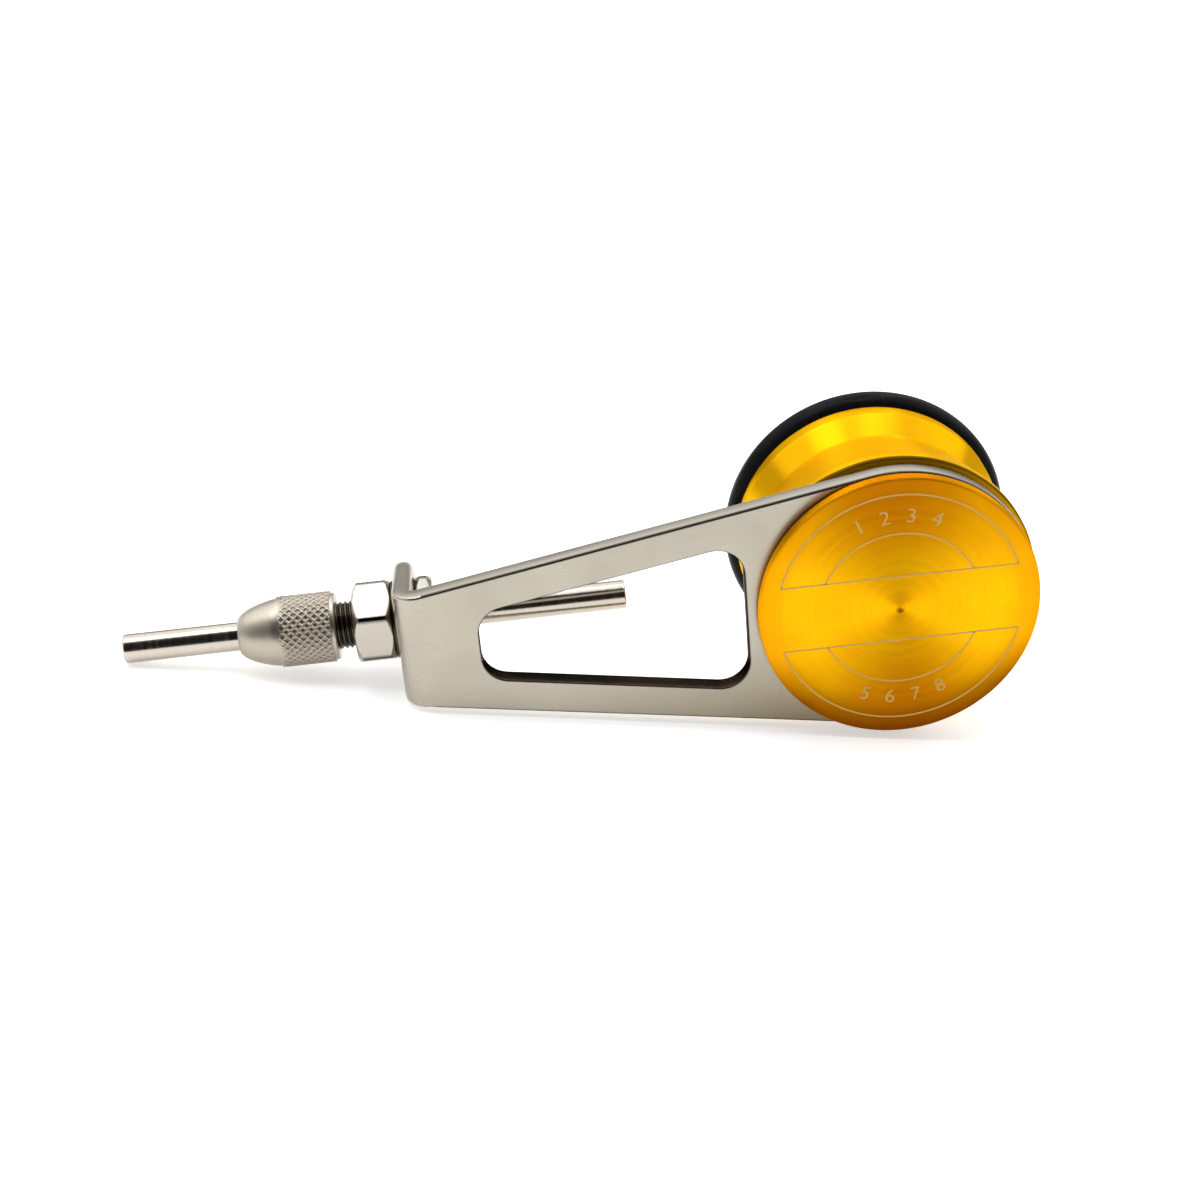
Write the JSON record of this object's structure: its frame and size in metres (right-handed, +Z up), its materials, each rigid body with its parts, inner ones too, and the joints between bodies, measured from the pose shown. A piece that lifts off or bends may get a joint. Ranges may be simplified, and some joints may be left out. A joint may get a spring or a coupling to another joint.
{
  "type": "bobbin holder",
  "caption": "One-sided steel arm with a gold line spool and drag knob at one end and a thin guide tube in a knurled collet nut at the other.",
  "frame": {"origin": "middle of the bounding box, on the surface that the object rests on", "axes": "+X from the guide tube's tip to the spool, +Y from the knob to the spool, +Z up; the tube points down by 10 degrees so that its tip and the spool's rubber ring touch the surface"},
  "size_m": [0.0922, 0.0229, 0.03],
  "materials": {
    "arm_steel": "satin, tumbled",
    "nut_steel": "bright turned",
    "knurl_steel": "bright, diamond knurled",
    "thread_steel": "bright thread",
    "washer_steel": "plain",
    "spring_steel": "dark spring steel",
    "tube_steel": "polished",
    "knob_gold": "gold anodised, lathe turned",
    "spool_gold": "gold anodised, lathe turned",
    "black_rubber": "glossy",
    "bearing_bronze": "oiled sintered bronze",
    "white_nylon": "matt",
    "brake_leather": "oiled"
  },
  "bodies": {
    "frame": {"side_arm": "arm_steel", "eye_bush": "washer_steel", "knob_washer": "white_nylon", "drag_washer": "brake_leather", "threaded_stud": "thread_steel", "outer_hex_nut": "nut_steel", "outer_washer": "washer_steel", "inner_hex_nut": "nut_steel"},
    "drag_knob": {"knob": "knob_gold"},
    "axle": {"axle_bolt": "washer_steel", "thrust_washer": "washer_steel", "disc_spring_near": "spring_steel", "disc_spring_far": "spring_steel"},
    "line_spool": {"spool": "spool_gold", "line_ring": "black_rubber", "near_bushing": "bearing_bronze", "far_bushing": "bearing_bronze"},
    "line_tube": {"guide_tube": "tube_steel"},
    "tube_collet": {"collet": "washer_steel"},
    "clamp_nut": {"collet_nut": "knurl_steel"}
  },
  "joints": [
    {"name": "knob_turn", "type": "hinge", "parent": "frame", "child": "drag_knob", "pos_m": [0.03109, -0.00995, 0.015], "axis": [0, -1, 0], "range_deg": [0, 720]},
    {"name": "axle_draw", "type": "slide", "parent": "frame", "child": "axle", "axis": [0, 1, 0], "range_m": [0, 0.001]},
    {"name": "spool_spin", "type": "hinge", "parent": "frame", "child": "line_spool", "pos_m": [0.03109, -0.00995, 0.015], "axis": [0, 1, 0], "continuous": true},
    {"name": "tube_slide", "type": "slide", "parent": "frame", "child": "line_tube", "axis": [-0.9848, 0, -0.1737], "range_m": [-0.0105, 0.018]},
    {"name": "collet_travel", "type": "slide", "parent": "frame", "child": "tube_collet", "axis": [-0.9848, 0, -0.1737], "range_m": [0, 0.001]},
    {"name": "clamp_nut_turn", "type": "hinge", "parent": "tube_collet", "child": "clamp_nut", "pos_m": [-0.028, -0.0018, 0.00458], "axis": [-0.9848, 0, -0.1737], "range_deg": [0, 720]}
  ],
  "couplings": [
    {"joint": "axle_draw", "follows": "knob_turn", "m_per_rad": 0.000079577},
    {"joint": "collet_travel", "follows": "clamp_nut_turn", "m_per_rad": 0.000079577}
  ]
}
